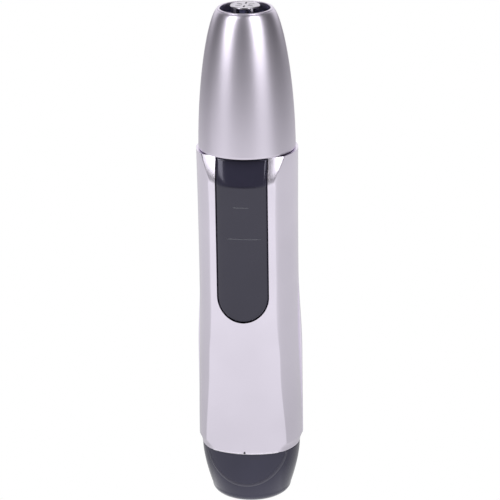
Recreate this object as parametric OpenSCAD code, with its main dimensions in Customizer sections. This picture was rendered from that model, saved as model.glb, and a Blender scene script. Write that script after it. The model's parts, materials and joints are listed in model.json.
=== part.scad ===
// Nose hair trimmer: a two-shell handle with a press button, a twist-off battery base,
// a twist-off rotary cutting head and an open-mouthed protective cap.
// Millimetres. +Z points up the axis, the button faces -Y, and the origin is on the axis
// at the flat face that the trimmer stands on.

/* [Handle] */
// Outer radius at the waist
waist_r = 13.58; // [13.45:0.01:13.7]
// Growth of the front shell's radius from the waist to the bottom
front_flare = 0.8; // [0.7:0.05:0.85]
// Growth of the rear shell's radius, which stands proud of the front shell
rear_flare = 0.86; // [0.8:0.02:0.9]
// Wall thickness of the shells
shell_wall = 1.3; // [1.2:0.05:1.35]
// Radius of the shallow curve across the front facet
facet_r = 18.2; // [17.8:0.1:18.6]
// Distance from the axis to the middle of the facet
facet_depth = 12.7; // [12.6:0.05:12.8]
// Lean of the facet above its bend, degrees
facet_lean = 15; // [13:0.5:16]
// Height of the bend in the facet
bend_z = 93; // [92:0.5:94]

/* [Button] */
// Width of the power button
button_w = 13.6; // [13.4:0.1:13.8]
// Gap between the button and its opening
button_gap = 0.35; // [0.3:0.05:0.4]
// Height of the button's lowest point
button_low_z = 54.6; // [54:0.2:55]

/* [Cap] */
// Outer radius of the cap at its lower edge
cap_r = 13.15; // [13.1:0.01:13.2]
// Outer radius of the cap just below its mouth
cap_tip_r = 7.54; // [7.48:0.02:7.6]
// Wall thickness of the cap
cap_wall = 1; // [0.9:0.05:1]
// Height of the rim of the mouth
cap_top_z = 139.3; // [139.2:0.1:139.4]

/* [Cutter] */
// Outer radius of the steel cutter tube
tube_r = 4; // [3.9:0.02:4.1]
// Number of windows round the cutter tube
tube_slots = 5; // [4, 5, 6]
// Height of the cutter's tip, which is the trimmer's length
tip_z = 140; // [139.8:0.1:140.2]

/* [Base] */
// Height of the seam between the handle and the base
seam_z = 15.6; // [15.4:0.1:15.8]
// Outer radius of the base at the seam
base_r = 13.55; // [13.4:0.05:13.6]
// Radius of the flat face that the trimmer stands on
foot_r = 7.3; // [7:0.1:7.6]

/* [Hidden] */
$fn = 96;

far = 200;                      // longer than the trimmer, for cuts that go right through
shell_top_z = 100.6;            // upper face of the two shells
cap_low_z = 100.8;              // lower edge of the cap
bead_h = 0.34;                  // height of the bead round the cap's mouth
mouth_r = 6.79;                 // inner radius of the mouth
taper_z = 18;                   // where the handle's lower edge starts to draw in
taper_lean = 19.5;              // slope of the facet in that stretch, degrees
base_facet_depth = 11.8;        // distance from the axis to the facet on the base
land_bore_r = 10.45;            // bore of the thick ring at the bottom of the shells
neck_bore_r = 8.6;              // bore of the thick ring at the top of the shells
neck_land_z = 97.2;             // lower face of that ring

cell_r = 7.25;                  // AA cell: 14.5 mm across, 50.5 mm long with its button
cell_low_z = 9.9;
cell_can_h = 49;
cell_h = 50.5;

motor_r = 10;                   // 130-size motor: 20 mm can with flats 15.1 mm apart
motor_flat = 7.55;
motor_low_z = 63.5;
motor_top_z = 88.6;
end_cap_h = 4.5;
shaft_r = 1;

board_y = -8.7;                 // front face of the circuit board
board_t = 0.8;
switch_z = 75;
screw_x = 4.2;
screw_z = 89.7;
rim_top_z = 87;                 // top of the button's retaining rim
spring_zs = [57.5, 85.5];       // heights of the two button springs

bush_r = 1.25;                  // radius of the blade's shaft in its bush
run_gap = 0.05;                 // radial clearance of a running fit
lug_half = 12;                  // half angle of a bayonet lug, degrees
notch_half = 14;                // half angle of an entry notch
head_turn = 30;                 // twist that frees the cutting head
base_turn = 40;                 // twist that frees the base
head_seat_z = 106.8;            // lower face of the head's cone
cone_top_z = 124;
hub_r = 2.6;                    // drive coupler and drive dog
dog_half = 20;                  // half angle of a drive lug

// Smooth step from 0 to 1 while t goes from 0 to 1
function ease(t) = let (u = max(0, min(1, t))) (1 - cos(180 * u)) / 2;
// Radius of the front shell and of the prouder rear shell at height z
function front_r(z) = waist_r + front_flare * ease((62 - z) / 44)
    + 0.22 * pow(max(0, z - 67) / 33.6, 2);
function rear_r(z) = waist_r + rear_flare * ease((61 - z) / 17)
    + 0.22 * pow(max(0, z - 67) / 33.6, 2);
// Outer radius of the cap, a blunt bullet that ends under the bead of its mouth
function bullet_r(z) = cap_tip_r + (cap_r - cap_tip_r)
    * pow(1 - pow((z - cap_low_z) / (cap_top_z - cap_low_z - bead_h), 1.88), 0.654);

// A ring or, with r_in = 0, a disc
module ring(r_out, r_in, z0, z1) {
    translate([0, 0, z0]) difference() {
        cylinder(r = r_out, h = z1 - z0);
        if (r_in > 0) translate([0, 0, -1]) cylinder(r = r_in, h = z1 - z0 + 2);
    }
}

// A piece of ring between two angles on either side of mid
module ring_sector(r_out, r_in, z0, z1, mid, half) {
    rotate([0, 0, mid - half]) translate([0, 0, z0])
        rotate_extrude(angle = 2 * half)
            translate([r_in, 0]) square([r_out - r_in, z1 - z0]);
}

// A coil of round wire along +Z whose radius goes evenly from r0 to r1
module coil(r0, r1, wire_r, h, turns, per_turn = 16, sides = 6) {
    n = turns * per_turn;
    centre = [for (i = [0:n]) let (t = i / n)
        [(r0 + (r1 - r0) * t) * cos(360 * turns * t),
         (r0 + (r1 - r0) * t) * sin(360 * turns * t), wire_r + (h - 2 * wire_r) * t]];
    points = [for (i = [0:n], k = [0:sides - 1])
        let (a = 360 * turns * i / n, b = 360 * k / sides)
        centre[i] + wire_r * [cos(b) * cos(a), cos(b) * sin(a), sin(b)]];
    low = [for (k = [0:sides - 1]) k];
    high = [for (k = [sides - 1:-1:0]) n * sides + k];
    walls = [for (i = [0:n - 1], k = [0:sides - 1])
        let (a = i * sides + k, b = i * sides + (k + 1) % sides)
        [[a, a + sides, b], [b, a + sides, b + sides]]];
    polyhedron(points, concat([low, high], [for (w = walls, f = w) f]), convexity = 8);
}

// Everything in front of one stretch of the facet; inset moves the cut towards the axis
module facet_cut(depth, z, lean, z0, z1, inset) {
    difference() {
        translate([-20, -40, z0]) cube([40, 38, z1 - z0]);
        translate([0, -depth, z]) rotate([-lean, 0, 0]) translate([0, facet_r, -far])
            cylinder(r = facet_r - inset, h = 2 * far);
    }
}

// Solid handle, moved in by inset all over. The rear one follows the prouder shell.
module handle_form(inset, rear = false) {
    zs = [for (z = [18:4:98]) z];
    side = [for (z = zs) [(rear ? rear_r(z) : front_r(z)) - inset, z]];
    low = [[0, 14], [base_r - inset - 0.02, 14], [base_r - inset + 0.05, seam_z],
           [base_r - inset + 0.2, 16.3]];
    high = [[front_r(shell_top_z) - inset, shell_top_z], [front_r(shell_top_z) - inset, 101.5],
            [0, 101.5]];
    difference() {
        rotate_extrude() polygon(concat(low, side, high));
        facet_cut(facet_depth, 50, 0, 10, far, inset);
        facet_cut(facet_depth, bend_z, facet_lean, bend_z - 4, far, inset);
        facet_cut(facet_depth, taper_z, -taper_lean, 10, taper_z + 4, inset);
    }
}

// Outline of the button or of its opening, grown by g all round and open at the top
module button_outline(g, top) {
    r = button_w / 2 + g;
    translate([0, far / 2, 0]) rotate([90, 0, 0]) linear_extrude(far) union() {
        translate([0, button_low_z + button_w / 2]) circle(r);
        translate([-r, button_low_z + button_w / 2]) square([2 * r, top - button_low_z - button_w / 2]);
    }
}

// Skin of the handle between two insets
module handle_skin(outer, inner) {
    difference() {
        handle_form(outer);
        handle_form(inner);
    }
}

// Wall of one shell with its thick rings at the neck and at the base
module shell(rear) {
    side = rear ? 0 : -far;
    intersection() {
        difference() {
            handle_form(0, rear);
            intersection() {
                handle_form(shell_wall, rear);
                translate([-20, -20, taper_z]) cube([40, 40, neck_land_z - taper_z]);
            }
            translate([0, 0, 10]) cylinder(r = land_bore_r, h = 20);
            translate([0, 0, 90]) cylinder(r = neck_bore_r, h = 20);
        }
        translate([-20, side, seam_z]) cube([40, far, shell_top_z - seam_z]);
    }
}

// Silver front half with the button's opening and a small alignment mark at its lower edge
module front_shell() {
    mark_w = 0.5;
    color([0.82, 0.8, 0.83]) difference() {
        shell(false);
        intersection() {
            button_outline(button_gap, far);
            translate([-20, -20, 40]) cube([40, 20 - 6.5, 70]);
        }
        translate([-mark_w / 2, -13, seam_z - 1]) cube([mark_w, 1.25, 1.8]);
    }
}

// Silver rear half, proud of the front one below the waist
module rear_shell() {
    color([0.78, 0.76, 0.8]) shell(true);
}

// Ring between the shells and the cutting head: bayonet inside, seat for the cap outside
module neck_collar() {
    color([0.2, 0.2, 0.22]) difference() {
        union() {
            ring(8.55, 0, 95.5, 101);
            rotate_extrude() polygon([[0, shell_top_z], [11.8, shell_top_z], [12, 100.9],
                [12, 103], [10.98, 103], [10.98, 104.2], [12, 104.2], [12, 106.1],
                [11.6, 106.5], [0, 106.5]]);
        }
        ring(10.4, 8.5, 102.2, 110);
        translate([0, 0, 96.7]) cylinder(r = 7.15, h = 20);
        translate([0, 0, 90]) cylinder(r = 3.6, h = 20);
        ring(7.85, 0, 101.1, 103);
        for (i = [0:2])
            ring_sector(7.8, 5, 101.8, 107, 120 * i + head_turn, notch_half);
    }
}

// Rubber ring in the collar's groove, which grips the cap
module cap_grip_ring() {
    color([0.08, 0.08, 0.08]) translate([0, 0, 103.6])
        rotate_extrude() translate([11.55, 0]) circle(0.55, $fn = 24);
}

// Bayonet ring held in the bottom of the shells
module base_ring() {
    color([0.25, 0.25, 0.27]) difference() {
        union() {
            ring(10.4, 9.5, seam_z + 0.1, 19.5);
            ring(11, 9.5, taper_z + 0.05, 23.1);
        }
        ring(10.15, 9, 19.4, 21.6);
        for (i = [0:1])
            ring_sector(10.08, 9, seam_z - 1, 20.5, 180 * i + base_turn, notch_half);
    }
}

// Sleeve that holds the AA cell, slotted at the back for the negative strip
module battery_sleeve() {
    color([0.3, 0.3, 0.33]) difference() {
        union() {
            ring(8.6, 7.6, 23.3, 60.3);
            translate([-2.2, board_y, 55.3]) cube([4.4, 1, 4.4]);
            for (s = [-1, 1]) translate([s * 10.15 - 1.75, -1, 26]) cube([3.5, 2, 30]);
        }
        translate([0, 0, 20]) cylinder(r = 7.6, h = 50);
        translate([-1.7, 6.5, 20]) cube([3.4, 1.4, 50]);
    }
}

// AA cell with its positive button up
module battery_cell() {
    color([0.15, 0.35, 0.2]) translate([0, 0, cell_low_z]) rotate_extrude() polygon([
        [0, 0], [cell_r - 0.5, 0], [cell_r, 0.5], [cell_r, cell_can_h - 0.6],
        [cell_r - 0.6, cell_can_h], [2.75, cell_can_h], [2.75, cell_h - 0.2], [2.55, cell_h],
        [0, cell_h]]);
}

// Plate over the cell's button, with a tab up the front of the motor frame
module positive_contact() {
    color([0.8, 0.7, 0.4]) {
        ring(4.6, 0, 60.4, 60.8);
        translate([2.2, -7.6, 60.4]) cube([1.6, 5, 0.4]);
        translate([2.2, -7.6, 60.4]) cube([1.6, 0.4, 2.9]);
    }
}

// Brass strip from the base's contact up past the cell to the motor frame
module negative_strip() {
    color([0.8, 0.7, 0.4]) {
        translate([-1.5, 7.35, 2.75]) cube([3, 0.25, 58]);
        ring_sector(9.2, 7.4, 60.4, 60.8, 168.5, 78.5);
    }
}

// Cradle that holds the motor: two rails between a lower and an upper plate
module motor_frame() {
    color([0.3, 0.3, 0.33]) difference() {
        union() {
            ring(10.6, 0, 61, 61.8);
            ring(10.6, 0, 88.8, 90.6);
            for (s = [-1, 1]) translate([s * 10.75 - 0.65, -4, 61]) cube([1.3, 8, 29.6]);
        }
        for (z = [60, 88]) translate([0, 0, z]) cylinder(r = 3.3, h = 5);
        translate([-20, -30, 50]) cube([40, 30 + board_y + board_t, 50]);
        translate([1.9, -8, 60]) cube([2.2, 2, 4]);
        for (s = [-1, 1]) translate([screw_x * s, -8, screw_z]) rotate([-90, 0, 0])
            cylinder(r = 0.6, h = 3.2);
    }
}

// Outline of the motor: a circle with two flats
module motor_outline(inset) {
    intersection() {
        circle(motor_r - inset);
        square([30, 2 * (motor_flat - inset)], center = true);
    }
}

// Drawn steel can with its front boss
module motor_can() {
    can_z = motor_low_z + end_cap_h;
    color([0.7, 0.7, 0.72]) difference() {
        union() {
            translate([0, 0, can_z]) linear_extrude(motor_top_z - can_z) motor_outline(0);
            ring(3.1, 0, motor_top_z - 0.5, 90.3);
        }
        translate([0, 0, can_z - 1]) linear_extrude(motor_top_z - can_z + 0.4) motor_outline(0.6);
        translate([0, 0, 80]) cylinder(r = 2.2, h = 20);
    }
}

// Two curved magnets inside the can
module motor_magnets() {
    color([0.25, 0.25, 0.27]) for (a = [0, 180])
        ring_sector(9.35, 7.3, 70, 86, a, 38);
}

// Plastic cover at the back of the motor with the rear bush's boss
module motor_end_cap() {
    color([0.9, 0.9, 0.88]) difference() {
        union() {
            translate([0, 0, motor_low_z]) linear_extrude(end_cap_h) motor_outline(0);
            ring(3.1, 0, 62, motor_low_z + 1);
        }
        translate([0, 0, 65]) cylinder(r = 7, h = 10);
        translate([0, 0, 50]) cylinder(r = 2.2, h = 20);
    }
}

// Two solder tabs that stand out of the end cap towards the front
module motor_terminals() {
    color([0.8, 0.7, 0.4]) for (s = [-1, 1])
        translate([s * 4 - 0.8, -9.3, 66]) cube([1.6, 1.75, 0.4]);
}

// Sintered bushes that carry the motor's shaft
module front_bush() {
    color([0.7, 0.55, 0.3]) ring(2.2, shaft_r + run_gap, 88.2, 90.3);
}
module rear_bush() {
    color([0.7, 0.55, 0.3]) ring(2.2, shaft_r + run_gap, 62, 64);
}

// Board between the motor and the button, with clearances for the terminals and screws
module circuit_board() {
    color([0.1, 0.35, 0.2]) difference() {
        translate([-5.6, board_y, 62.4]) cube([11.2, board_t, 28.9]);
        for (s = [-1, 1]) {
            translate([s * 4 - 1.1, board_y - 1, 65.6]) cube([2.2, 3, 1.2]);
            translate([screw_x * s, board_y - 1, screw_z]) rotate([-90, 0, 0]) cylinder(r = 0.75, h = 3);
        }
    }
}

// Two pan-head screws that hold the board to the motor frame
module board_screws() {
    color([0.6, 0.6, 0.62]) for (s = [-1, 1]) translate([screw_x * s, board_y, screw_z]) difference() {
        union() {
            rotate([90, 0, 0]) cylinder(r1 = 1.3, r2 = 1, h = 0.7);
            rotate([-90, 0, 0]) cylinder(r = 0.6, h = 3.6);
        }
        for (a = [0, 90]) translate([0, -0.7, 0]) rotate([0, a, 0])
            cube([1.3, 0.7, 0.3], center = true);
    }
}

// Square switch body with a well for its plunger
module tact_switch() {
    color([0.12, 0.12, 0.13]) difference() {
        translate([-3, board_y - 1.5, switch_z - 3]) cube([6, 1.5, 6]);
        translate([0, board_y - 0.15, switch_z]) rotate([90, 0, 0]) cylinder(r = 1.75, h = 3);
    }
}

// Leads from the motor's terminals to the board, each a half loop
module motor_leads() {
    color([0.6, 0.1, 0.1]) for (s = [-1, 1]) translate([4 * s, -9.1, 67.55])
        rotate([90, 0, 90]) rotate([0, 0, 90]) rotate_extrude(angle = 180)
            translate([0.8, 0]) circle(0.3, $fn = 24);
}

// Leads from the two battery contacts up to the board
module battery_leads() {
    wire_r = 0.35;
    color([0.1, 0.1, 0.1]) for (x = [-3, 3]) translate([x, -9.1, 60.9]) {
        cylinder(r = wire_r, h = 4);
        rotate([-90, 0, 0]) cylinder(r = wire_r, h = 1.1);
        sphere(wire_r, $fn = 24);
    }
}

// Lip ring between the collar and the turning coupler
module shaft_seal() {
    color([0.08, 0.08, 0.08]) ring(3.6, hub_r + 0.08, 95.5, 96.7);
}

// Motor shaft
module motor_shaft() {
    color([0.75, 0.75, 0.77]) ring(shaft_r, 0, 62.1, 97);
}

// Three-pole laminated core on the shaft
module armature_core() {
    color([0.5, 0.5, 0.52]) difference() {
        union() {
            ring(2.4, 0, 72, 84);
            for (a = [90, 210, 330]) {
                rotate([0, 0, a]) translate([1.6, -0.9, 72]) cube([4.6, 1.8, 12]);
                ring_sector(6.9, 5.9, 72, 84, a, 48);
            }
        }
        translate([0, 0, 60]) cylinder(r = shaft_r, h = 40);
    }
}

// Three windings, one round each pole
module armature_coils() {
    color([0.75, 0.35, 0.15]) for (a = [90, 210, 330]) rotate([0, 0, a]) difference() {
        translate([2.9, -2.1, 70.8]) cube([2.6, 4.2, 14.4]);
        translate([2, -0.9, 72]) cube([5, 1.8, 12]);
    }
}

// Commutator of three copper segments on a plastic sleeve
module commutator() {
    color([0.75, 0.45, 0.2]) difference() {
        ring(2.3, shaft_r, 66, 70);
        for (a = [30, 150, 270]) rotate([0, 0, a]) translate([1.8, -0.15, 65]) cube([2, 0.3, 6]);
    }
}

// Plastic coupler on the motor shaft with two drive lugs
module drive_coupler() {
    color([0.85, 0.85, 0.82]) {
        difference() {
            ring(hub_r, 0, 90.9, 97.4);
            translate([0, 0, 88]) cylinder(r = shaft_r, h = 9);
        }
        for (a = [0, 180]) ring_sector(hub_r - 0.1, 1.2, 97.3, 99.6, a, dog_half);
    }
}

// Long dark button with a retaining rim behind the shell and two raised grip bars
module power_button() {
    rim_w = 1.2;
    grip_bars = [[-2.3, 2.2, 87.2], [-4.2, 5.4, 78.2]];   // left end, right end, height
    color([0.24, 0.24, 0.28]) {
        intersection() {
            handle_skin(0, shell_wall);
            button_outline(0, 100.3);
            translate([-20, -20, 50]) cube([40, 18, 52]);
        }
        intersection() {
            handle_skin(shell_wall - 0.1, 2.25);
            difference() {
                button_outline(0, rim_top_z);
                button_outline(-rim_w, far);
            }
            translate([-20, -20, 50]) cube([40, 18, 52]);
        }
        intersection() {
            handle_skin(shell_wall + 0.25, 2.25);
            difference() {
                button_outline(0.9, rim_top_z);
                button_outline(-rim_w, far);
            }
            translate([-20, -20, 50]) cube([40, 18, 52]);
        }
        translate([0, -11.2, switch_z]) rotate([90, 0, 0]) cylinder(r = 1.2, h = 0.6);
        intersection() {
            handle_skin(-0.15, 0.3);
            union() for (bar = grip_bars)
                translate([bar[0], -20, bar[2] - 0.2]) cube([bar[1] - bar[0], 18, 0.4]);
        }
    }
}

// Switch plunger, pushed by the button
module switch_plunger() {
    color([0.85, 0.85, 0.82]) translate([0, board_y - 0.75, switch_z]) rotate([90, 0, 0])
        cylinder(r = 1.6, h = 1.6);
}

// Two small coils that return the button
module button_springs() {
    color([0.7, 0.7, 0.72]) for (z = spring_zs) translate([0, board_y - 0.05, z])
        rotate([90, 0, 0]) coil(1.5, 1.5, 0.22, 2.45, 3.5);
}

// Bullet-shaped cap, open at the mouth and at the bottom
module protective_cap() {
    outer = [for (z = [cap_low_z:2.15:cap_top_z - 2]) [bullet_r(z), z]];
    lip = [for (d = [1.4, 1, 0.7, 0.5, 0.4]) [bullet_r(cap_top_z - d), cap_top_z - d]];
    bore = [for (p = outer) [p[0] - cap_wall, p[1]]];
    bore_back = [for (i = [len(bore) - 1:-1:0]) bore[i]];
    color([0.76, 0.74, 0.77]) rotate_extrude()
        polygon(concat(outer, lip, [[cap_tip_r, cap_top_z - bead_h],
            [cap_tip_r, cap_top_z - 0.2], [cap_tip_r - 0.12, cap_top_z - 0.05],
            [cap_tip_r - 0.3, cap_top_z], [mouth_r + 0.2, cap_top_z],
            [mouth_r, cap_top_z - 0.25], [mouth_r, cap_top_z - 0.8]], bore_back));
}

// Cone of the cutting head: spigot with three bayonet lugs below, seat for the tube on top
module head_housing() {
    grooves = 24;
    color([0.16, 0.16, 0.18]) {
        difference() {
            rotate_extrude() polygon([[5.4, 100.7], [7, 100.7], [7, head_seat_z],
                [9.4, head_seat_z], [9.4, 109.6], [9.1, 110.2], [7.3, 115.5], [5.9, 120.5],
                [5.3, 123.5], [5, cone_top_z], [tube_r + 0.01, cone_top_z],
                [tube_r + 0.01, 118], [3.2, 118], [3.2, 109.2], [2.4, 109.2],
                [2.4, head_seat_z], [5.4, head_seat_z]]);
            for (i = [0:grooves - 1]) rotate([0, 0, 360 * i / grooves])
                translate([9.75, 0, 105]) cylinder(r = 0.7, h = 7, $fn = 24);
        }
        for (i = [0:2]) ring_sector(7.7, 6.5, 101.3, 102.7, 120 * i, lug_half);
    }
}

// Steel tube of the head: windows round its end and short slots in its closed top
module cutter_tube() {
    plate_t = 0.5;
    rib_w = 0.95;
    color([0.8, 0.8, 0.82]) difference() {
        rotate_extrude() polygon([[tube_r - 0.54, 118], [tube_r, 118], [tube_r, tip_z - 0.15],
            [tube_r - 0.15, tip_z], [0, tip_z], [0, tip_z - plate_t],
            [tube_r - 0.54, tip_z - plate_t]]);
        difference() {
            ring(tube_r + 1, tube_r - 1, tip_z - 7, tip_z - plate_t);
            for (i = [0:tube_slots - 1]) rotate([0, 0, 360 * (i + 0.5) / tube_slots - 90])
                translate([0, -rib_w / 2, 100]) cube([10, rib_w, 60]);
        }
        for (i = [0:5]) rotate([0, 0, 60 * i + 30]) translate([1, -0.2, tip_z - 1])
            cube([1.7, 0.4, 2]);
    }
}

// Flanged bush that carries the blade's shaft
module shaft_bush() {
    color([0.7, 0.55, 0.3]) {
        ring(2.4, bush_r + run_gap, head_seat_z, 109.2);
        ring(3, bush_r + run_gap, 109.2, 109.8);
    }
}

// Open clip that keeps the shaft up in its bush
module shaft_clip() {
    color([0.5, 0.5, 0.52]) difference() {
        ring(2.2, bush_r, 106, 106.4);
        translate([0, -0.7, 105]) cube([5, 1.4, 3]);
    }
}

// Steel shaft with a shoulder for the spring and a drive dog at its foot
module blade_shaft() {
    color([0.75, 0.75, 0.77]) {
        ring(bush_r, 0, 100, 129);
        ring(hub_r, 0, 110.4, 111);
        ring(hub_r, 0, 100, 101.6);
        for (a = [90, 270]) ring_sector(hub_r - 0.1, 1.2, 97.8, 100, a, dog_half);
    }
}

// Fork-shaped cutter that turns inside the tube
module rotary_blade() {
    blade_r = tube_r - 0.54 - 0.1;
    color([0.85, 0.85, 0.87]) difference() {
        union() {
            ring(hub_r, 0, 124.4, 126.8);
            ring(1.8, 0, 126.8, 131);
            intersection() {
                translate([-5, -0.3, 130]) cube([10, 0.6, 9.2]);
                ring(blade_r, 0, 129, tip_z - 0.8);
            }
        }
        translate([0, 0, 120]) cylinder(r = bush_r, h = 9);
        translate([-1.5, -1, 133]) cube([3, 2, 10]);
    }
}

// Coil between the shaft's shoulder and the blade
module blade_spring() {
    color([0.7, 0.7, 0.72]) translate([0, 0, 111.05]) coil(2.05, 2.05, 0.25, 13.3, 6);
}

// Outline of the base: a drawn-in side and a rounded edge at the foot
function base_side_r(z) = base_r - 3.61 * pow(1 - z / 15.35, 1.642);
function base_outline(top, edge_h = 2.8) = concat(
    [[0, 0], [foot_r, 0]],
    [for (a = [-75:15:0]) [foot_r + (base_side_r(edge_h) - foot_r) * cos(a),
                           edge_h + edge_h * sin(a)]],
    [for (z = [4:1.5:13]) [base_side_r(z), z]],
    [[base_r, top], [0, top]]);

// Dark base with the cell's well, a spigot with two bayonet lugs and a groove for its seal
module base_cap() {
    top = seam_z - 0.25;
    color([0.27, 0.27, 0.31]) difference() {
        union() {
            difference() {
                rotate_extrude() polygon(base_outline(top));
                facet_cut(base_facet_depth, 8, 0, -5, 20, 0);
            }
            difference() {
                ring(9.25, 0, top - 1, 21.4);
                ring(12, 8.48, 16.55, 17.65);
            }
            for (i = [0:1]) ring_sector(9.95, 9, 19.7, 21.2, 180 * i, lug_half);
        }
        translate([0, 0, 2.05]) cylinder(r = 7.9, h = 30);
    }
}

// Rubber ring on the base's spigot
module base_seal() {
    color([0.08, 0.08, 0.08]) translate([0, 0, 17.1])
        rotate_extrude() translate([8.97, 0]) circle(0.48, $fn = 24);
}

// Contact plate on the floor of the base
module spring_plate() {
    color([0.75, 0.75, 0.7]) ring(7.6, 0, 2.05, 2.45);
}

// Conical coil that presses on the cell
module battery_spring() {
    color([0.75, 0.75, 0.7]) translate([0, 0, 2.46]) coil(5.6, 4, 0.4, 7.15, 4, 20);
}

front_shell();
rear_shell();
neck_collar();
cap_grip_ring();
base_ring();
battery_sleeve();
battery_cell();
positive_contact();
negative_strip();
motor_frame();
motor_can();
motor_magnets();
motor_end_cap();
motor_terminals();
front_bush();
rear_bush();
circuit_board();
board_screws();
tact_switch();
motor_leads();
battery_leads();
shaft_seal();
motor_shaft();
armature_core();
armature_coils();
commutator();
drive_coupler();
power_button();
switch_plunger();
button_springs();
protective_cap();
head_housing();
cutter_tube();
shaft_bush();
shaft_clip();
blade_shaft();
rotary_blade();
blade_spring();
base_cap();
base_seal();
spring_plate();
battery_spring();
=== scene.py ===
"""Nose hair trimmer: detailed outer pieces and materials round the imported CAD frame."""
import json
import math

import bmesh
import bpy
from mathutils import Matrix, Vector


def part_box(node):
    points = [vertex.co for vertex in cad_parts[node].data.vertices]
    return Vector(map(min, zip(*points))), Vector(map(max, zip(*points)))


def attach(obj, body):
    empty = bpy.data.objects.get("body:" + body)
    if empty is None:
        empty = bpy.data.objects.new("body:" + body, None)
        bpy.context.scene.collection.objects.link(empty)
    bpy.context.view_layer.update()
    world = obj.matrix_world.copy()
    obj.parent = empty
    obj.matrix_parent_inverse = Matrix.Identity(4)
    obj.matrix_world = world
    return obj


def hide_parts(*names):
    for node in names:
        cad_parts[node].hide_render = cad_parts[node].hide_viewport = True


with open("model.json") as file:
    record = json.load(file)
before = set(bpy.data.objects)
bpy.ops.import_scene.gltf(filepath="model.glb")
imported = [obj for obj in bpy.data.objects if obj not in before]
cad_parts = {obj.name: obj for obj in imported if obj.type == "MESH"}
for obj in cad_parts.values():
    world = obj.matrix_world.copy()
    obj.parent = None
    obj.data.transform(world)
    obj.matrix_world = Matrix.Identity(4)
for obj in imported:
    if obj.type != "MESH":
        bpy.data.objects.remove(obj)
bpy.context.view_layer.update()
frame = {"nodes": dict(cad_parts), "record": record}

MM = 0.001

# ---------------------------------------------------------------- sizes, in millimetres


def box_mm(node):
    """Lowest and highest corner of a CAD node, in millimetres."""
    lo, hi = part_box(node)
    return lo / MM, hi / MM


shell_lo, shell_hi = box_mm("front_shell")
cap_lo, cap_hi = box_mm("protective_cap")

SEAM_Z = shell_lo.z               # lower edge of the silver shells
SHELL_TOP_Z = shell_hi.z
FACET_DEPTH = -shell_lo.y         # axis to the middle of the front facet
WALL = 1.3                        # thickness of both shells
PANEL_THICK = 1.0                 # thickness of the button's panel
WAIST_R = 13.58
FRONT_FLARE, FRONT_FLARE_TOP, FRONT_FLARE_SPAN = 0.8, 62, 44    # widening below the waist
REAR_FLARE, REAR_FLARE_TOP, REAR_FLARE_SPAN = 0.86, 66, 24
NECK_SWELL, NECK_SWELL_FROM, NECK_SWELL_SPAN = 0.22, 67, 33.6   # widening up to the neck
TAPER_Z = 18.0                    # the shells draw in below this height
TAPER_POWER = 1.7
OVER_BASE = 0.08                  # how far the shells' lower edge stands out past the base
FACET_CURVE = ((15, 18.8), (33, 19.9), (47, 18.1), (66, 17.3), (91, 18.2))  # height, radius across
FACET_LEAN = math.tan(math.radians(15.3))
BEND_Z = 93.0                     # the facet leans back above this height
FLATTEN, FLATTEN_SPAN = 6.8, 2.0  # radius gained above the bend, and how soon
FACET_ROUND = 0.85                # radius of the facet's rounded lower edge
CREASE_SOFT = 0.22                # half width of the rounding between facet and side
LOW_LAND_R, TOP_LAND_R = 10.5, 8.7   # inner radius of the flat lands at the shells' ends
EDGE_ROUND = 0.14                 # rounding of the shells' edges
BASE_R = 13.55
BASE_TOP_Z = SEAM_Z - 0.25
BASE_TAPER, BASE_TAPER_POWER = 3.61, 1.642
BASE_FACET_R = 17.4
BASE_FACET_DEPTH, BASE_FACET_LEAN, BASE_FACET_Z = 12.0, 0.03, 6   # depth at this height, and slope
BASE_EDGE_SOFT = 0.8              # rounding between the base's facet and its side
FOOT_R, FOOT_H = 6.5, 2.8         # flat the base stands on, and height of the rounding above it
BUTTON_R = 6.9                    # half the button's width and the radius of its round end
BUTTON_GAP = 0.25
BUTTON_LOW_Z = 54.5
BUTTON_TOP_Z = box_mm("power_button")[1].z
BUTTON_END_Z = BUTTON_LOW_Z + BUTTON_R   # centre of the round end
BUTTON_EDGE = ((0.7, 0.0), (0.4, 0.05), (0.2, 0.16), (0.07, 0.36), (0.0, 0.7))   # depth, inset
CAP_R = cap_hi.x
CAP_TIP_R = 7.54
CAP_WALL, CAP_EDGE = 1.0, 0.15    # wall, and rounding of the lower edge
CAP_POWERS = (1.88, 0.654)        # shape of the bullet
BEAD_H, BEAD_RISE = 0.34, 0.19    # height of the bead round the cap's mouth, and of its top
MOUTH_R = 6.79


def ease(t):
    u = max(0.0, min(1.0, t))
    return (1 - math.cos(math.pi * u)) / 2


def neck_swell(z):
    return NECK_SWELL * (max(0.0, z - NECK_SWELL_FROM) / NECK_SWELL_SPAN) ** 2


def drawn_in(r, z):
    """Radius r with the shells' lower edge drawn in towards the base."""
    u = max(0.0, TAPER_Z - z) / (TAPER_Z - SEAM_Z)
    return r - (r - BASE_R - OVER_BASE) * (1 - (1 - u) ** TAPER_POWER) if u > 0 else r


def front_r(z):
    flare = FRONT_FLARE * ease((FRONT_FLARE_TOP - z) / FRONT_FLARE_SPAN)
    return drawn_in(WAIST_R + flare + neck_swell(z), z)


def rear_r(z):
    flare = REAR_FLARE * ease((REAR_FLARE_TOP - z) / REAR_FLARE_SPAN)
    return drawn_in(WAIST_R + flare + neck_swell(z), z)


def facet_depth(z):
    """Depth of the facet in the middle: upright, leaning above the bend, rounded at the foot."""
    up = max(0.0, z - BEND_Z)
    down = min(1.0, max(0.0, SEAM_Z + FACET_ROUND - z) / FACET_ROUND)
    return FACET_DEPTH - FACET_LEAN * up - FACET_ROUND * (1 - math.sqrt(1 - down * down))


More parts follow.
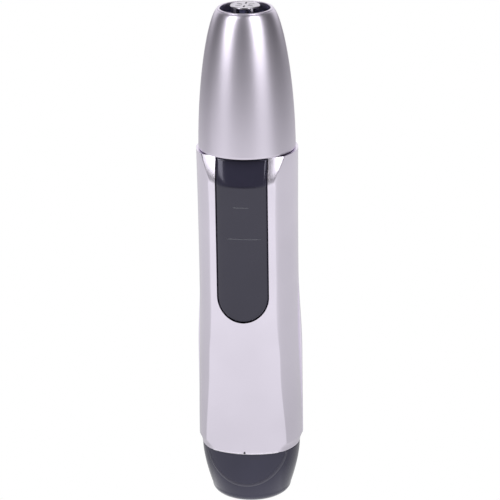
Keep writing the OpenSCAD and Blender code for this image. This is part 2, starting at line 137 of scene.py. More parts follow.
def facet_radius(z):
    """Radius of the curve across the facet, which flattens out quickly above the bend."""
    if z > BEND_Z:
        return FACET_CURVE[-1][1] + FLATTEN * (1 - math.exp(-(z - BEND_Z) / FLATTEN_SPAN))
    for (z0, r0), (z1, r1) in zip(FACET_CURVE, FACET_CURVE[1:]):
        if z <= z1:
            return r0 + (r1 - r0) * ease((z - z0) / (z1 - z0))
    return FACET_CURVE[-1][1]


def facet_y(x, z):
    r = facet_radius(z)
    return -facet_depth(z) + r - math.sqrt(r * r - x * x)


def crease_x(z):
    """Half width of the facet, where it meets the round side."""
    r, big = front_r(z), facet_radius(z)
    c = big - facet_depth(z)
    y = (r * r + c * c - big * big) / (2 * c)
    return math.sqrt(r * r - y * y)


def bullet_r(z):
    t = min(1.0, (z - cap_lo.z) / (cap_hi.z - cap_lo.z - BEAD_H))
    return CAP_TIP_R + (CAP_R - CAP_TIP_R) * (1 - t ** CAP_POWERS[0]) ** CAP_POWERS[1]


def base_side_r(z):
    return BASE_R - BASE_TAPER * (1 - z / BASE_TOP_Z) ** BASE_TAPER_POWER


def base_facet_depth(z):
    return BASE_FACET_DEPTH - BASE_FACET_LEAN * (z - BASE_FACET_Z)


def spread(a, b, n):
    """n + 1 evenly spaced values from a to b."""
    return [a + (b - a) * i / n for i in range(n + 1)]


# ---------------------------------------------------------------- mesh helpers


def make_object(name, verts, faces, material, body, stands_for=()):
    """A smooth-shaded piece from points in millimetres, riding on a CAD body."""
    mesh = bpy.data.meshes.new(name)
    mesh.from_pydata([(x * MM, y * MM, z * MM) for x, y, z in verts], [], faces)
    bm = bmesh.new()
    bm.from_mesh(mesh)
    bmesh.ops.remove_doubles(bm, verts=bm.verts, dist=2e-6)
    bmesh.ops.dissolve_degenerate(bm, edges=bm.edges, dist=1e-7)
    bmesh.ops.recalc_face_normals(bm, faces=bm.faces)
    bm.to_mesh(mesh)
    bm.free()
    mesh.polygons.foreach_set("use_smooth", [True] * len(mesh.polygons))
    mesh.materials.append(material)
    piece = bpy.data.objects.new(name, mesh)
    bpy.context.scene.collection.objects.link(piece)
    if stands_for:
        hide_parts(*stands_for)
    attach(piece, body)
    return piece


def grid_faces(rows, cols, start=0, closed=False):
    """Quads between rows of cols points; closed joins the last column to the first."""
    last = cols if closed else cols - 1
    return [
        (start + i * cols + j, start + i * cols + (j + 1) % cols,
         start + (i + 1) * cols + (j + 1) % cols, start + (i + 1) * cols + j)
        for i in range(rows - 1) for j in range(last)
    ]


def lathe(profile, segments=192):
    """Points and faces of a closed loop of (radius, height) turned about the axis."""
    verts = []
    for r, z in profile:
        for k in range(segments):
            a = 2 * math.pi * k / segments
            verts.append((r * math.cos(a), r * math.sin(a), z))
    faces = grid_faces(len(profile), segments, closed=True)
    last = (len(profile) - 1) * segments
    faces += [(last + k, last + (k + 1) % segments, (k + 1) % segments, k) for k in range(segments)]
    return verts, faces


def add_bevel(piece, width_mm, angle=40, segments=3):
    bevel = piece.modifiers.new("edge_rounding", "BEVEL")
    bevel.width = width_mm * MM
    bevel.segments = segments
    bevel.limit_method = "ANGLE"
    bevel.angle_limit = math.radians(angle)
    bevel.harden_normals = True
    bevel.use_clamp_overlap = True


def add_thickness(piece, thickness_mm):
    solid = piece.modifiers.new("wall", "SOLIDIFY")
    solid.thickness = thickness_mm * MM
    solid.offset = -1
    solid.use_even_offset = False


# ---------------------------------------------------------------- materials


class Nodes:
    """A material's node tree with short calls for the nodes used here."""

    def __init__(self, name):
        self.material = bpy.data.materials.new(name)
        self.material.use_nodes = True
        self.tree = self.material.node_tree
        self.shader = self.tree.nodes["Principled BSDF"]
        self.place = self.tree.nodes.new("ShaderNodeTexCoord").outputs["Object"]

    def link(self, a, b):
        self.tree.links.new(a, b)

    def noise(self, scale, detail=2.0, rough=0.5, stretch=(1, 1, 1)):
        """Fractal noise; scale is in cells per metre."""
        node = self.tree.nodes.new("ShaderNodeTexNoise")
        node.inputs["Scale"].default_value = scale
        node.inputs["Detail"].default_value = detail
        node.inputs["Roughness"].default_value = rough
        mapping = self.tree.nodes.new("ShaderNodeMapping")
        mapping.inputs["Scale"].default_value = stretch
        self.link(self.place, mapping.inputs["Vector"])
        self.link(mapping.outputs["Vector"], node.inputs["Vector"])
        return node.outputs["Fac"]

    def ramp(self, value, stops):
        """Colour ramp; stops are (position, colour)."""
        node = self.tree.nodes.new("ShaderNodeValToRGB")
        node.color_ramp.elements[0].position = stops[0][0]
        node.color_ramp.elements[0].color = (*stops[0][1], 1)
        node.color_ramp.elements[1].position = stops[-1][0]
        node.color_ramp.elements[1].color = (*stops[-1][1], 1)
        for position, colour in stops[1:-1]:
            node.color_ramp.elements.new(position).color = (*colour, 1)
        self.link(value, node.inputs["Fac"])
        return node.outputs["Color"]

    def levels(self, value, low, high):
        """Maps 0..1 to low..high."""
        node = self.tree.nodes.new("ShaderNodeMapRange")
        node.inputs["To Min"].default_value = low
        node.inputs["To Max"].default_value = high
        self.link(value, node.inputs["Value"])
        return node.outputs["Result"]

    def bump(self, height, distance_mm, strength=1.0):
        node = self.tree.nodes.new("ShaderNodeBump")
        node.inputs["Distance"].default_value = distance_mm * MM
        node.inputs["Strength"].default_value = strength
        self.link(height, node.inputs["Height"])
        self.link(node.outputs["Normal"], self.shader.inputs["Normal"])

    def set(self, **values):
        for name, value in values.items():
            self.shader.inputs[name.replace("_", " ")].default_value = value


def fade(tree, value, span, levels):
    """Smooth step from levels[0] to levels[1] while value crosses the span."""
    node = tree.nodes.new("ShaderNodeMapRange")
    node.interpolation_type = "SMOOTHSTEP"
    for name, number in zip(("From Min", "From Max", "To Min", "To Max"), (*span, *levels)):
        node.inputs[name].default_value = number
    tree.links.new(value, node.inputs["Value"])
    return node.outputs["Result"]


SHEEN_TINT = (0.86, 0.84, 1.0, 1)                # the plastics' slightly violet reflection
MIX_COLOUR_A, MIX_COLOUR_B, MIX_COLOUR_OUT = 6, 7, 2   # colour sockets of the Mix node


def tinted(colour, factor):
    return tuple(min(1.0, c * factor) for c in colour)


def metallic_paint(name, colour, roughness, flake=2600.0, depth=0.004):
    """Satin silver finish: fine flake grain, slight tone drift and uneven sheen."""
    n = Nodes(name)
    flakes = n.noise(flake, 3, 0.6)
    drift = n.noise(60, 2, 0.5)
    n.link(n.ramp(drift, [(0.3, tinted(colour, 0.965)), (0.7, tinted(colour, 1.03))]),
           n.shader.inputs["Base Color"])
    n.link(n.levels(flakes, roughness - 0.05, roughness + 0.05), n.shader.inputs["Roughness"])
    n.bump(flakes, depth)
    n.set(Metallic=1.0)
    return n.material


def turned_silver(name, colour, roughness):
    """Anodised turned metal: sheen drawn out along the axis, faint rings and tone drift."""
    n = Nodes(name)
    rings = n.noise(3000, 2, 0.5, stretch=(0.04, 0.04, 1))
    drift = n.noise(60, 2, 0.5)
    n.link(n.ramp(drift, [(0.3, tinted(colour, 0.975)), (0.7, tinted(colour, 1.02))]),
           n.shader.inputs["Base Color"])
    n.link(n.levels(rings, roughness - 0.03, roughness + 0.03), n.shader.inputs["Roughness"])
    n.bump(rings, 0.0003)
    n.set(Metallic=1.0, Anisotropic=0.3, Anisotropic_Rotation=0.25)
    return n.material


def moulded_plastic(name, colour, roughness, grain=1800.0, depth=0.006, coat=0.0, specular=0.5):
    """Plastic with a fine spark-eroded grain and faint tone drift."""
    n = Nodes(name)
    grains = n.noise(grain, 3, 0.55)
    drift = n.noise(90, 2, 0.5)
    n.link(n.ramp(drift, [(0.3, tinted(colour, 0.9)), (0.7, tinted(colour, 1.1))]),
           n.shader.inputs["Base Color"])
    n.link(n.levels(grains, roughness - 0.06, roughness + 0.06), n.shader.inputs["Roughness"])
    n.bump(grains, depth)
    n.set(Specular_IOR_Level=specular, Specular_Tint=SHEEN_TINT)
    if coat:
        n.set(Coat_Weight=coat, Coat_Roughness=0.08)
    return n.material


def panel_plastic(name, colour, painted_highlight_tone, roughness, specular):
    """Glossy button plastic, a tone lighter on the leaning part above the bend: a painted highlight
    for the reflection that leaning part catches.
    """
    n = Nodes(name)
    split = n.tree.nodes.new("ShaderNodeSeparateXYZ")
    n.link(n.place, split.inputs[0])
    # Painted highlight: the base colour turns lighter above the bend.
    height = fade(n.tree, split.outputs["Z"], ((BEND_Z - 0.3) * MM, (BEND_Z + 0.5) * MM), (0, 1))
    mix = n.tree.nodes.new("ShaderNodeMix")
    mix.data_type = "RGBA"
    n.link(height, mix.inputs["Factor"])
    drift = n.noise(90, 2, 0.5)
    for socket, tone in ((MIX_COLOUR_A, colour), (MIX_COLOUR_B, tinted(colour, painted_highlight_tone))):
        tones = n.ramp(drift, [(0.3, tinted(tone, 0.92)), (0.7, tinted(tone, 1.08))])
        n.link(tones, mix.inputs[socket])
    n.link(mix.outputs[MIX_COLOUR_OUT], n.shader.inputs["Base Color"])
    grains = n.noise(1800, 3, 0.55)
    n.link(n.levels(grains, roughness - 0.04, roughness + 0.04), n.shader.inputs["Roughness"])
    n.bump(grains, 0.0006)
    n.set(Specular_IOR_Level=specular, Specular_Tint=SHEEN_TINT)
    return n.material


def turned_metal(name, colour, roughness, rings=5000.0):
    """Machined metal with fine turning marks round the axis."""
    n = Nodes(name)
    marks = n.noise(rings, 2, 0.5, stretch=(0.05, 0.05, 1))
    drift = n.noise(250, 2, 0.5)
    n.link(n.ramp(drift, [(0.3, tinted(colour, 0.92)), (0.7, tinted(colour, 1.04))]),
           n.shader.inputs["Base Color"])
    n.link(n.levels(marks, roughness - 0.05, roughness + 0.08), n.shader.inputs["Roughness"])
    n.bump(marks, 0.002)
    n.set(Metallic=1.0)
    return n.material


MATERIALS = {
    "silver_shell": metallic_paint("silver_shell", (0.80, 0.75, 0.86), 0.24),
    "silver_cap": turned_silver("silver_cap", (0.78, 0.73, 0.84), 0.37),
    # dark_panel: the 1.9 lifts its colour above the bend as a painted highlight.
    "dark_panel": panel_plastic("dark_panel", (0.016, 0.015, 0.026), 1.9, 0.12, 0.76),
    "dark_base": moulded_plastic("dark_base", (0.036, 0.035, 0.058), 0.22, depth=0.001),
    # Partly painted highlight: a grey well lighter than the panel, for the faint light lines along
    # the bars.
    "grip_bar": moulded_plastic("grip_bar", (0.10, 0.10, 0.12), 0.35, depth=0.002),
    # Painted highlight: lighter than dark_base, for the light along the base facet's edge.
    "base_edge_highlight": moulded_plastic("base_edge_highlight", (0.062, 0.060, 0.082), 0.3, depth=0.001),
    "cap_lining": moulded_plastic("cap_lining", (0.20, 0.19, 0.34), 0.3),
    # Painted highlight: whitish matt colour for the light line along the silver's lower edge.
    "seam_highlight": moulded_plastic("seam_highlight", (0.84, 0.81, 0.88), 0.4, depth=0.001),
    "black_plastic": moulded_plastic("black_plastic", (0.018, 0.018, 0.021), 0.42),
    "grey_plastic": moulded_plastic("grey_plastic", (0.10, 0.10, 0.11), 0.45),
    "white_plastic": moulded_plastic("white_plastic", (0.72, 0.72, 0.68), 0.40),
    "rubber": moulded_plastic("rubber", (0.012, 0.012, 0.012), 0.6, specular=0.35),
    "cutter_steel": turned_metal("cutter_steel", (0.60, 0.58, 0.64), 0.2),
    "spring_steel": turned_metal("spring_steel", (0.55, 0.55, 0.57), 0.28),
    "motor_steel": turned_metal("motor_steel", (0.56, 0.56, 0.55), 0.34),
    "ferrite": moulded_plastic("ferrite", (0.03, 0.03, 0.032), 0.7),
    "lamination": turned_metal("lamination", (0.30, 0.30, 0.31), 0.45, rings=2500.0),
    "copper": turned_metal("copper", (0.72, 0.30, 0.14), 0.3, rings=3500.0),
    "bronze": turned_metal("bronze", (0.50, 0.33, 0.16), 0.45),
    "contact_brass": turned_metal("contact_brass", (0.78, 0.64, 0.34), 0.28),
    "cell_jacket": moulded_plastic("cell_jacket", (0.02, 0.11, 0.05), 0.3, coat=0.5),
    "board_green": moulded_plastic("board_green", (0.01, 0.12, 0.045), 0.35, coat=0.4),
    "wire_red": moulded_plastic("wire_red", (0.40, 0.015, 0.015), 0.5),
    "wire_black": moulded_plastic("wire_black", (0.015, 0.015, 0.015), 0.5),
}


def dress_frame():
    """Gives every CAD node the material of its slot."""
    slots = {s["node"]: s["material_slot"] for s in frame["record"]["subparts"]}
    for node, obj in frame["nodes"].items():
        material = MATERIALS[slots[node]]
        if not obj.material_slots:
            obj.data.materials.append(material)
        for place in obj.material_slots:
            place.material = material


def round_edges(node, width_mm):
    """Small rounding on the sharp edges of a CAD node."""
    obj = frame["nodes"][node]
    weld = obj.modifiers.new("weld", "WELD")
    weld.merge_threshold = 0.002 * MM
    add_bevel(obj, width_mm, angle=35, segments=2)


# ---------------------------------------------------------------- handle shells


def shell_heights():
    """Heights of both shells' rows below the button, closer together at the lower edge."""
    foot = [SEAM_Z + (TAPER_Z - SEAM_Z) * t ** TAPER_POWER for t in spread(0, 1, 20)]
    middle = spread(TAPER_Z + 0.5, BUTTON_LOW_Z - BUTTON_GAP - 0.3, 60)
    return foot, middle


def front_row(z, x0):
    """One row of the front shell's right half at height z, from x0 to the parting line."""
    xc = crease_x(z)
    r = front_r(z)
    corner = Vector((xc, facet_y(xc, z)))
    before = Vector((xc - CREASE_SOFT, facet_y(xc - CREASE_SOFT, z)))
    after_a = math.asin(xc / r) + CREASE_SOFT / r
    after = Vector((r * math.sin(after_a), -r * math.cos(after_a)))
    row = [(x, facet_y(x, z), z) for x in spread(x0, xc - CREASE_SOFT, 22)[:-1]]
    for s in spread(0, 1, 6):
        p = before * (1 - s) ** 2 + corner * 2 * s * (1 - s) + after * s * s
        row.append((p.x, p.y, z))
    for a in spread(after_a, math.pi / 2, 40)[1:]:
        row.append((r * math.sin(a), -r * math.cos(a), z))
    return row


def land_row(count, r_to, z, x_min):
    """Row of count points at radius r_to, for the flat lands at the ends of the shell."""
    a0 = math.asin(min(1.0, x_min / r_to))
    return [(r_to * math.sin(a), -r_to * math.cos(a), z) for a in spread(a0, math.pi / 2, count - 1)]


def blend_rows(a, b, t):
    """Row at the share t of the way from row a to row b."""
    return [tuple(p + (q - p) * t for p, q in zip(u, v)) for u, v in zip(a, b)]


def front_half_rows():
    """Rows of the front shell's right half from the base up to the neck."""
    open_r = BUTTON_R + BUTTON_GAP
    foot, middle = shell_heights()
    rows = [front_row(z, 0.0) for z in foot + middle]
    for a in spread(0, math.pi / 2, 40):
        rows.append(front_row(BUTTON_END_Z - open_r * math.cos(a), open_r * math.sin(a)))
    upright = spread(BUTTON_END_Z, BEND_Z, 70)[1:]
    lean = spread(BEND_Z, SHELL_TOP_Z, 24)[1:]
    rows += [front_row(z, open_r) for z in upright + lean]
    low_land = land_row(len(rows[0]), LOW_LAND_R, SEAM_Z, 0.0)
    top_land = land_row(len(rows[-1]), TOP_LAND_R, SHELL_TOP_Z, open_r)
    rows = [blend_rows(low_land, rows[0], t) for t in (0, 0.5)] + rows
    rows += [blend_rows(rows[-1], top_land, t) for t in (0.5, 1)]
    return rows


def build_front_shell():
    """Silver front half, mirrored from its right half, with the opening for the button."""
    rows = front_half_rows()
    cols = len(rows[0])
    verts = [p for row in rows for p in row]
    faces = grid_faces(len(rows), cols)
    offset = len(verts)
    verts += [(-x, y, z) for x, y, z in verts]
    faces += [tuple(offset + i for i in reversed(f)) for f in faces]
    piece = make_object("front_shell_skin", verts, faces, MATERIALS["silver_shell"], "handle",
                        ["front_shell"])
    add_thickness(piece, WALL)
    add_bevel(piece, EDGE_ROUND)


def build_rear_shell():
    """Round silver rear half."""
    foot, middle = shell_heights()
    heights = foot + middle + spread(BUTTON_LOW_Z, SHELL_TOP_Z, 60)
    angles = spread(math.pi / 2, 3 * math.pi / 2, 120)

    def ring(r, z):
        return [(r * math.sin(a), -r * math.cos(a), z) for a in angles]

    mid_low, mid_top = 12.0, 11.0   # a row in the middle of each land
    rows = [ring(LOW_LAND_R, SEAM_Z), ring(mid_low, SEAM_Z)]
    rows += [ring(rear_r(z), z) for z in heights]
    rows += [ring(mid_top, SHELL_TOP_Z), ring(TOP_LAND_R, SHELL_TOP_Z)]
    verts = [p for row in rows for p in row]
    faces = grid_faces(len(rows), len(angles))
    piece = make_object("rear_shell_skin", verts, faces, MATERIALS["silver_shell"], "handle",
                        ["rear_shell"])
    add_thickness(piece, WALL)
    add_bevel(piece, EDGE_ROUND)


# ---------------------------------------------------------------- button


def button_outline(inset):
    """Outline of the button drawn in by inset mm, from its top right round to its top left."""
    r = BUTTON_R - inset
    top = BUTTON_TOP_Z - inset
    heights = spread(top, BEND_Z, 14)[:-1] + spread(BEND_Z, BUTTON_END_Z, 50)[:-1]
    outline = [(r, z) for z in heights]
    for a in spread(math.pi / 2, -math.pi / 2, 48):
        outline.append((r * math.sin(a), BUTTON_END_Z - r * math.cos(a)))
    return outline + [(-r, z) for z in reversed(heights)]


def fill_face(verts, faces, edge, depth, flip=False):
    """Fills in the last row of verts, edge, with rows drawn in to the middle at this depth."""
    for t in (0.8, 0.6, 0.4, 0.2, 0.0):
        ring = grid_faces(2, len(edge), start=len(verts) - len(edge))
        verts += [(x * t, facet_y(x * t, z) + depth, z) for x, _, z in edge]
        faces += [tuple(reversed(f)) for f in ring] if flip else ring


def build_button():
    """Dark panel: a face that follows the facet, with a rounded edge and a plain back."""
    rows = []
    for depth, inset in ((PANEL_THICK, 0.0),) + BUTTON_EDGE:
        rows.append([(x, facet_y(x, z) + depth, z) for x, z in button_outline(inset)])
    verts = [p for row in rows for p in row]
    faces = grid_faces(len(rows), len(rows[0]), closed=True)
    fill_face(verts, faces, rows[-1], 0.0)
    verts += rows[0]
    fill_face(verts, faces, rows[0], PANEL_THICK, flip=True)
    make_object("power_button_panel", verts, faces, MATERIALS["dark_panel"], "button",
                ["power_button"])


def build_grip_bar(name, x0, x1, z, rise, thick=0.32, proud=0.07):
    """Slim raised bar on the button, bowed upwards by rise at its middle; its grey, lighter than the
    panel, is partly a painted highlight.
    """
    verts = []
    count, sides = 40, 8
    for t in spread(0, 1, count):
        x = x0 + (x1 - x0) * t
        zc = z + rise * math.sin(math.pi * t)
        taper = min(1.0, 6 * t + 0.15, 6 * (1 - t) + 0.15)
        for k in range(sides):
            a = 2 * math.pi * k / sides
            out, up = proud * taper * math.cos(a), thick / 2 * taper * math.sin(a)
            verts.append((x, facet_y(x, zc) - out, zc + up))
    faces = grid_faces(count + 1, sides, closed=True)
    faces.append(tuple(range(sides)))
    faces.append(tuple(reversed(range(count * sides, (count + 1) * sides))))
    make_object(name, verts, faces, MATERIALS["grip_bar"], "button", ())


# ---------------------------------------------------------------- cap, base


def build_cap():
    """Bullet-shaped cap whose mouth is finished with a rolled bead."""
    top = cap_hi.z
    neck = top - BEAD_H
    heights = spread(cap_lo.z + CAP_EDGE, top - 3, 70)
    near = [neck - 2.6 * (1 - t) ** 2.2 for t in spread(0, 1, 24)[:-1]]   # closer by the mouth
    outer = [(bullet_r(z), z) for z in heights + near]
    outer.append((CAP_TIP_R - 0.03, neck + 0.01))
    bead_r = (CAP_TIP_R - MOUTH_R) / 2
    rolled = [
        (MOUTH_R + bead_r + bead_r * math.cos(a), top - BEAD_RISE + BEAD_RISE * math.sin(a))
        for a in (math.radians(d) for d in spread(-25, 190, 22))
    ]
    throat = [(MOUTH_R, top - 0.5), (MOUTH_R + 0.02, top - 0.9)]
    bore = [(bullet_r(z) - CAP_WALL, z) for z in reversed(heights)]
    foot = [(CAP_R - CAP_WALL + CAP_EDGE, cap_lo.z), (CAP_R - CAP_EDGE, cap_lo.z)]
    verts, faces = lathe(outer + rolled + throat + bore + foot)
    make_object("cap_bullet", verts, faces, MATERIALS["silver_cap"], "cap",
                ["protective_cap"])


def build_cap_liner(gap=0.02, thick=0.1):
    """Satin lining of the cap's bore, which shows in the mouth."""
    heights = spread(cap_lo.z + 1, cap_hi.z - 1.1, 60)
    skin = [(bullet_r(z) - CAP_WALL - gap, z) for z in heights]
    verts, faces = lathe(skin + [(r - thick, z) for r, z in reversed(skin)])
    make_object("cap_lining", verts, faces, MATERIALS["cap_lining"], "cap", ())


def base_facet_foot():
    """Height at which the base's facet runs out into its round side."""
    low, high = 0.0, BASE_TOP_Z
    for _ in range(40):
        middle = (low + high) / 2
        if base_side_r(middle) > base_facet_depth(middle):
            high = middle
        else:
            low = middle
    return high


def base_edge_points(count=80):
    """Points along the curved edge between the base's facet and its round side."""
    top, foot = BASE_TOP_Z - 0.2, base_facet_foot()
    half = []
    for t in spread(0, 1, count)[:-1]:
        z = top - (top - foot) * math.sin(math.pi / 2 * t)
        r = base_side_r(z)
        c = BASE_FACET_R - base_facet_depth(z)
        y = (r * r + c * c - BASE_FACET_R ** 2) / (2 * c)
        half.append(Vector((math.sqrt(max(0.0, r * r - y * y)), y, z)))
    return [Vector((-p.x, p.y, p.z)) for p in half] + half[::-1]


def bead(path, radius, sunk, sides=24):
    """Round bead along a path on the outside, with its centre sunk mm under the path."""
    verts = []
    for i, p in enumerate(path):
        along = (path[min(i + 1, len(path) - 1)] - path[max(i - 1, 0)]).normalized()
        out = Vector((p.x, p.y, 0)).normalized()
        across = along.cross(out).normalized()
        out = across.cross(along)
        centre = p - out * sunk
        for k in range(sides):
            a = 2 * math.pi * k / sides
            verts.append(tuple(centre + (out * math.cos(a) + across * math.sin(a)) * radius))
    faces = grid_faces(len(path), sides, closed=True)
    faces += [tuple(range(sides)), tuple(range(len(verts) - 1, len(verts) - sides - 1, -1))]
    return verts, faces


def build_base_edge():
    """Edge of the base's facet: a thin bead let into the corner, whose rounding catches light and
    whose lighter colour is a painted highlight.
    """
    verts, faces = bead(base_edge_points(), radius=0.7, sunk=0.79)
    make_object("base_edge_bead", verts, faces, MATERIALS["base_edge_highlight"], "base", ())


def build_seam_rim(radius=0.2):
    """Pale rim along the lower edge of the silver facet; its whitish matt colour is a painted
    highlight on the seam.
    """
    z = SEAM_Z + radius
    half = crease_x(z) - 0.3
    path = [Vector((x, facet_y(x, z), z)) for x in spread(-half, half, 60)]
    verts, faces = bead(path, radius, sunk=radius / 2, sides=12)
    make_object("seam_rim", verts, faces, MATERIALS["seam_highlight"], "handle", ())


def build_alignment_tick(half_w=0.25, height=0.85, proud=0.12, thick=0.4):
    """Small dark tick in the middle of the facet's lower edge, which the base lines up with."""
    cols = 5
    front = [[(x, facet_y(x, z) - proud, z) for x in spread(-half_w, half_w, cols - 1)]
             for z in spread(SEAM_Z + 0.02, SEAM_Z + height, 6)]
    rows = front + [[(x, y + thick, z) for x, y, z in row] for row in reversed(front)]
    verts = [p for row in rows for p in row]
    faces = grid_faces(len(rows), cols)
    faces.append(tuple(range(cols)) + tuple(reversed(range(len(verts) - cols, len(verts)))))
    faces.append(tuple(cols * i for i in range(len(rows))))
    faces.append(tuple(cols * i + cols - 1 for i in reversed(range(len(rows)))))
    make_object("alignment_tick", verts, faces, MATERIALS["black_plastic"], "handle", ())


# Radius and height up the base's neck with its seal groove, over its rim and down the cell's well.
BASE_NECK = [(9.25, BASE_TOP_Z), (9.25, 16.5), (8.5, 16.55), (8.5, 17.65), (9.25, 17.7),
             (9.25, 21.2), (9.05, 21.4), (8.1, 21.4), (7.9, 21.2), (7.9, 2.05), (0.02, 2.05)]


def base_profile():
    """Radius and height of the base's outside before the facet, from the foot up."""
    profile = []
    for a in (math.radians(d) for d in spread(-90, 0, 14)):
        r = FOOT_R + (base_side_r(FOOT_H) - FOOT_R) * math.cos(a)
        profile.append((r, FOOT_H + FOOT_H * math.sin(a)))
    profile += [(base_side_r(z), z) for z in spread(FOOT_H, BASE_TOP_Z - 0.12, 100)[1:]]
    return profile + [(BASE_R - 0.04, BASE_TOP_Z - 0.04), (BASE_R - 0.12, BASE_TOP_Z)]


def within_base_facet(r, z, a):
    """Smooth minimum of the radius r and the facet's, along the ray at angle a from -Y."""
    if math.cos(a) <= 0:
        return r
    centre = BASE_FACET_R - base_facet_depth(z)
    reach = -centre * math.cos(a) + math.sqrt(BASE_FACET_R ** 2 - (centre * math.sin(a)) ** 2)
    gap = (reach - r) / BASE_EDGE_SOFT
    if gap <= -20:
        return reach
    return r - BASE_EDGE_SOFT * math.log1p(math.exp(-gap * 2)) / 2


def build_base(segments=360):
    """Dark tapered base whose front facet ends in a low curved edge."""
    angles = [2 * math.pi * k / segments for k in range(segments)]
    verts = []
    for r, z in base_profile():
        for a in angles:
            near = within_base_facet(r, z, a)
            verts.append((near * math.sin(a), -near * math.cos(a), z))
    for r, z in BASE_NECK:
        verts += [(r * math.sin(a), -r * math.cos(a), z) for a in angles]
    faces = grid_faces(len(verts) // segments, segments, closed=True)
    faces.append(tuple(range(segments)))
    faces.append(tuple(reversed(range(len(verts) - segments, len(verts)))))
    make_object("base_moulding", verts, faces, MATERIALS["dark_base"], "base",
                ["base_cap"])


# ---------------------------------------------------------------- stage, in metres

CAM_AZIMUTH = math.radians(9)     # to the right of the front
CAM_RADIUS = 0.755
CAM_HEIGHT = 0.331
CAM_AIM_SIDE, CAM_AIM_Z = 0.00036, 0.0710
CAM_ROLL = math.radians(-0.85)
CAM_LENS, CAM_SENSOR = 210.24, 36   # millimetres
SOFT_BOX_REACH = 0.8              # distance of the soft boxes from the axis
SOFT_BOX_EYE_Z = 0.11             # height their elevations are measured from
SOFT_BOX_SIDES = (("left", -56, 14), ("right", 40, 16))          # azimuth and half width, degrees
SOFT_BOX_ROWS = (("low", 5, 26, 2.8), ("high", 27, 60, 4.6))     # elevations and radiance
FLOOR_HALF = 3.0


def build_camera():
    a = CAM_AZIMUTH
    eye = Vector((CAM_RADIUS * math.sin(a), -CAM_RADIUS * math.cos(a), CAM_HEIGHT))
    aim = Vector((CAM_AIM_SIDE * math.cos(a), CAM_AIM_SIDE * math.sin(a), CAM_AIM_Z))
    forward = (aim - eye).normalized()
    right = forward.cross(Vector((0, 0, 1))).normalized()
    up = right.cross(forward)
    c, s = math.cos(CAM_ROLL), math.sin(CAM_ROLL)
    x, y = c * right + s * up, -s * right + c * up
    data = bpy.data.cameras.new("camera")
    data.sensor_width = CAM_SENSOR
    data.lens = CAM_LENS
    data.clip_start, data.clip_end = 0.01, 50
    cam = bpy.data.objects.new("camera", data)
    cam.matrix_world = Matrix((x, y, -forward)).transposed().to_4x4()
    cam.location = eye
    bpy.context.scene.collection.objects.link(cam)
    bpy.context.scene.camera = cam


def soft_box(name, azimuth, half_width, low, high, radiance):
    """Upright soft box facing the axis, by the angles it spans as seen from the cap.

    The azimuth counts from the camera, right positive; low and high are elevations.
    """
    a = math.radians(azimuth) + CAM_AZIMUTH
    z0, z1 = (SOFT_BOX_EYE_Z + SOFT_BOX_REACH * math.tan(math.radians(e)) for e in (low, high))
    width = 2 * SOFT_BOX_REACH * math.tan(math.radians(half_width))
    data = bpy.data.lights.new(name, "AREA")
    data.shape = "RECTANGLE"
    data.size, data.size_y = width, z1 - z0
    data.energy = radiance * math.pi * width * (z1 - z0)
    lamp = bpy.data.objects.new(name, data)
    lamp.location = (SOFT_BOX_REACH * math.sin(a), -SOFT_BOX_REACH * math.cos(a), (z0 + z1) / 2)
    lamp.rotation_euler = (math.pi / 2, 0, a)
    bpy.context.scene.collection.objects.link(lamp)


def seen_as(tree, to_camera, to_others, output):
    """Sends one shader to camera rays and the other to every other ray."""
    mix = tree.nodes.new("ShaderNodeMixShader")
    path = tree.nodes.new("ShaderNodeLightPath")
    tree.links.new(path.outputs["Is Camera Ray"], mix.inputs["Fac"])
    tree.links.new(to_others, mix.inputs[1])
    tree.links.new(to_camera, mix.inputs[2])
    tree.links.new(mix.outputs["Shader"], tree.nodes[output].inputs["Surface"])


def build_world():
    """White to the camera; what the trimmer reflects is dim in front and light behind."""
    world = bpy.data.worlds.new("studio")
    world.use_nodes = True
    bpy.context.scene.world = world
    tree = world.node_tree
    room = tree.nodes["Background"]
    coord = tree.nodes.new("ShaderNodeTexCoord").outputs["Generated"]
    turn = tree.nodes.new("ShaderNodeMapping")
    turn.inputs["Rotation"].default_value[2] = -CAM_AZIMUTH
    split = tree.nodes.new("ShaderNodeSeparateXYZ")
    tree.links.new(coord, turn.inputs["Vector"])
    tree.links.new(turn.outputs["Vector"], split.inputs[0])
    depth = split.outputs["Y"]   # -1 straight in front, 1 straight behind
    tree.links.new(fade(tree, depth, (0.35, 0.82), (0.08, 1.0)), room.inputs["Strength"])
    room.inputs["Color"].default_value = (1, 0.985, 1, 1)
    plain = tree.nodes.new("ShaderNodeBackground")
    plain.inputs["Color"].default_value = (1, 1, 1, 1)
    seen_as(tree, plain.outputs["Background"], room.outputs["Background"], "World Output")


def calculate(tree, operation, a, b):
    node = tree.nodes.new("ShaderNodeMath")
    node.operation = operation
    tree.links.new(a, node.inputs[0])
    tree.links.new(b, node.inputs[1])
    return node.outputs["Value"]


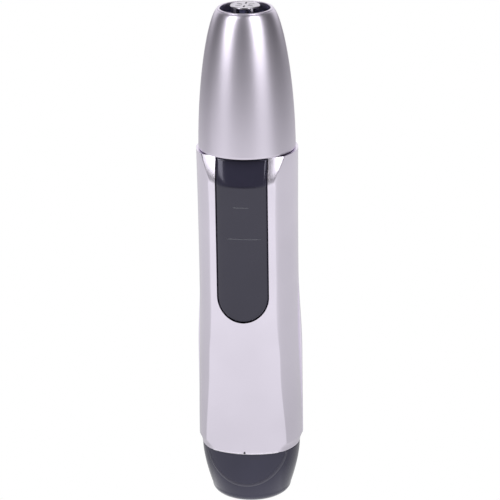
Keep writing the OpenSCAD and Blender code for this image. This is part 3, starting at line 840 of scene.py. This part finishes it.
def floor_light(tree):
    """Strength of the floor as the trimmer reflects it, by direction and distance from the foot.

    Angles are in radians from +X, with the front at -pi / 2.
    """
    place = tree.nodes.new("ShaderNodeTexCoord").outputs["Object"]
    split = tree.nodes.new("ShaderNodeSeparateXYZ")
    length = tree.nodes.new("ShaderNodeVectorMath")
    length.operation = "LENGTH"
    tree.links.new(place, split.inputs[0])
    tree.links.new(place, length.inputs[0])
    angle = calculate(tree, "ARCTAN2", split.outputs["Y"], split.outputs["X"])
    reach = length.outputs["Value"]
    right = fade(tree, angle, (-0.42, -0.18), (1.0, 0.70))
    left = fade(tree, angle, (-3.14, -2.98), (0.80, 1.0))
    pool = fade(tree, reach, (0.3, 0.75), (1.0, 0.28))
    close = fade(tree, reach, (0.03, 0.26), (0.84, 1.03))
    foot = fade(tree, reach, (0.014, 0.03), (1.35, 1.0))
    strength = calculate(tree, "MINIMUM", right, left)
    for factor in (pool, close, foot):
        strength = calculate(tree, "MULTIPLY", strength, factor)
    return strength


def floor_paper():
    """White paper: even white to the camera, and floor_light to the trimmer's reflections."""
    material = bpy.data.materials.new("floor_paper")
    material.use_nodes = True
    tree = material.node_tree
    tree.nodes.remove(tree.nodes["Principled BSDF"])
    lit = tree.nodes.new("ShaderNodeEmission")
    tree.links.new(floor_light(tree), lit.inputs["Strength"])
    white = tree.nodes.new("ShaderNodeEmission")
    seen_as(tree, white.outputs["Emission"], lit.outputs["Emission"], "Material Output")
    return material


def build_floor():
    mesh = bpy.data.meshes.new("floor")
    corners = [(-FLOOR_HALF, -FLOOR_HALF, 0), (FLOOR_HALF, -FLOOR_HALF, 0),
               (FLOOR_HALF, FLOOR_HALF, 0), (-FLOOR_HALF, FLOOR_HALF, 0)]
    mesh.from_pydata(corners, [], [(0, 1, 2, 3)])
    mesh.materials.append(floor_paper())
    floor = bpy.data.objects.new("floor", mesh)
    floor.location.z = -0.1 * MM   # just under the foot
    bpy.context.scene.collection.objects.link(floor)


def build_stage():
    build_camera()
    build_world()
    build_floor()
    for side, azimuth, half_width in SOFT_BOX_SIDES:
        for level, low, high, radiance in SOFT_BOX_ROWS:
            soft_box("softbox_%s_%s" % (level, side), azimuth, half_width, low, high, radiance)
    bpy.context.scene.view_settings.view_transform = "Standard"


# ---------------------------------------------------------------- build

dress_frame()
build_front_shell()
build_rear_shell()
build_button()
build_grip_bar("grip_bar_short", -2.3, 2.2, 87.2, 0.0)
build_grip_bar("grip_bar_long", -4.2, 5.4, 78.2, 0.15)
build_cap()
build_cap_liner()
build_base()
build_base_edge()
build_seam_rim()
build_alignment_tick()
for name, width in (("cutter_tube", 0.1), ("head_housing", 0.15), ("neck_collar", 0.12)):
    round_edges(name, width)
build_stage()
